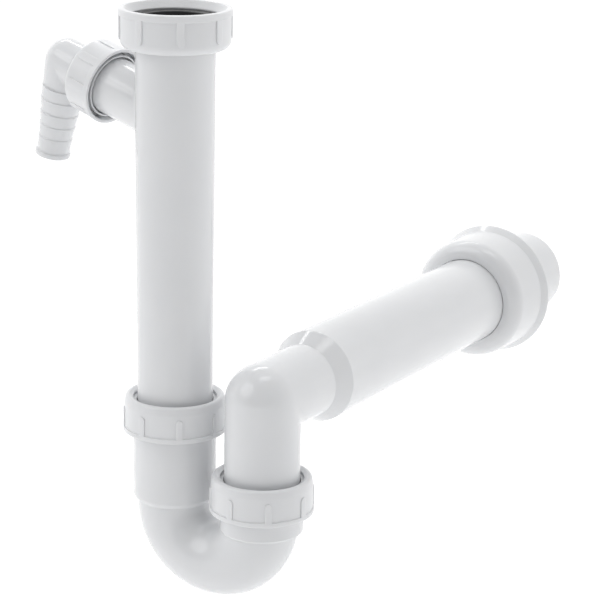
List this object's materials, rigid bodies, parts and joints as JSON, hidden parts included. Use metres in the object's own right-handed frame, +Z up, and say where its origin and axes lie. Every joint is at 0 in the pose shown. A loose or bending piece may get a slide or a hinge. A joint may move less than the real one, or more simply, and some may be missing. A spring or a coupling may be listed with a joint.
{
  "type": "p trap",
  "caption": "Tubular sink trap: long inlet tube with union nut and side hose nozzle, U-bend with compression nuts, bent wall outlet pipe and sliding rosette.",
  "frame": {"origin": "centre of the inlet seal's top face, where the sink's waste outlet seats", "axes": "+Z up the inlet tube, +X from the inlet tube to the riser, +Y along the outlet pipe to the wall"},
  "size_m": [0.1954, 0.3365, 0.3127],
  "materials": {
    "white_pp": "smooth satin-gloss moulded",
    "black_rubber": "matte moulded"
  },
  "bodies": {
    "inlet": {"inlet_tube": "white_pp", "inlet_seal": "black_rubber", "nozzle_seal": "black_rubber"},
    "inlet_ring": {"inlet_retaining_ring": "white_pp"},
    "inlet_nut": {"inlet_union_nut": "white_pp"},
    "nozzle": {"nozzle_elbow": "white_pp"},
    "nozzle_ring": {"nozzle_retaining_ring": "white_pp"},
    "nozzle_nut": {"nozzle_nut": "white_pp"},
    "trap_inlet_seal": {"trap_inlet_seal": "black_rubber"},
    "bend": {"u_bend": "white_pp"},
    "trap_inlet_ring": {"trap_inlet_slip_ring": "white_pp"},
    "trap_inlet_nut": {"trap_inlet_nut": "white_pp"},
    "trap_outlet_ring": {"trap_outlet_slip_ring": "white_pp"},
    "trap_outlet_nut": {"trap_outlet_nut": "white_pp"},
    "trap_outlet_seal": {"trap_outlet_seal": "black_rubber"},
    "outlet": {"outlet_bend": "white_pp"},
    "rosette": {"wall_rosette": "white_pp"}
  },
  "joints": [
    {"name": "inlet_nut_slide", "type": "slide", "parent": "inlet", "child": "inlet_ring", "axis": [0, 0, 1], "range_m": [-0.012, 0.0056]},
    {"name": "inlet_nut_turn", "type": "hinge", "parent": "inlet_ring", "child": "inlet_nut", "pos_m": [0, 0, 0], "axis": [0, 0, 1], "continuous": true},
    {"name": "nozzle_swivel", "type": "hinge", "parent": "inlet", "child": "nozzle", "pos_m": [0, 0, -0.0535], "axis": [-0.9556, 0.1685, 0.2419], "continuous": true},
    {"name": "nozzle_nut_travel", "type": "slide", "parent": "inlet", "child": "nozzle_ring", "axis": [-0.9556, 0.1685, 0.2419], "range_m": [0, 0.0066]},
    {"name": "nozzle_nut_turn", "type": "hinge", "parent": "nozzle_ring", "child": "nozzle_nut", "pos_m": [0, 0, -0.0535], "axis": [-0.9556, 0.1685, 0.2419], "range_deg": [0, 1015]},
    {"name": "trap_height", "type": "slide", "parent": "inlet", "child": "trap_inlet_seal", "axis": [0, 0, 1], "range_m": [-0.02, 0.015]},
    {"name": "trap_swivel", "type": "hinge", "parent": "trap_inlet_seal", "child": "bend", "pos_m": [0, 0, 0], "axis": [0, 0, 1], "range_deg": [-180, 180]},
    {"name": "trap_inlet_nut_travel", "type": "slide", "parent": "bend", "child": "trap_inlet_ring", "axis": [0, 0, 1], "range_m": [0, 0.0126]},
    {"name": "trap_inlet_nut_turn", "type": "hinge", "parent": "trap_inlet_ring", "child": "trap_inlet_nut", "pos_m": [0, 0, 0], "axis": [0, 0, 1], "range_deg": [0, 1950]},
    {"name": "trap_outlet_nut_travel", "type": "slide", "parent": "bend", "child": "trap_outlet_ring", "axis": [0, 0, 1], "range_m": [0, 0.0126]},
    {"name": "trap_outlet_nut_turn", "type": "hinge", "parent": "trap_outlet_ring", "child": "trap_outlet_nut", "pos_m": [0.0553, 0, 0], "axis": [0, 0, 1], "range_deg": [0, 1950]},
    {"name": "outlet_swivel", "type": "hinge", "parent": "bend", "child": "trap_outlet_seal", "pos_m": [0.0553, 0, 0], "axis": [0, 0, 1], "range_deg": [-200, 20]},
    {"name": "outlet_height", "type": "slide", "parent": "trap_outlet_seal", "child": "outlet", "axis": [0, 0, 1], "range_m": [0, 0.006]},
    {"name": "rosette_slide", "type": "slide", "parent": "outlet", "child": "rosette", "axis": [0, 1, 0], "range_m": [-0.16, 0.038]}
  ],
  "couplings": [
    {"joint": "nozzle_nut_travel", "follows": "nozzle_nut_turn", "m_per_rad": 0.00036749},
    {"joint": "trap_inlet_nut_travel", "follows": "trap_inlet_nut_turn", "m_per_rad": 0.00036749},
    {"joint": "trap_outlet_nut_travel", "follows": "trap_outlet_nut_turn", "m_per_rad": 0.00036749}
  ]
}
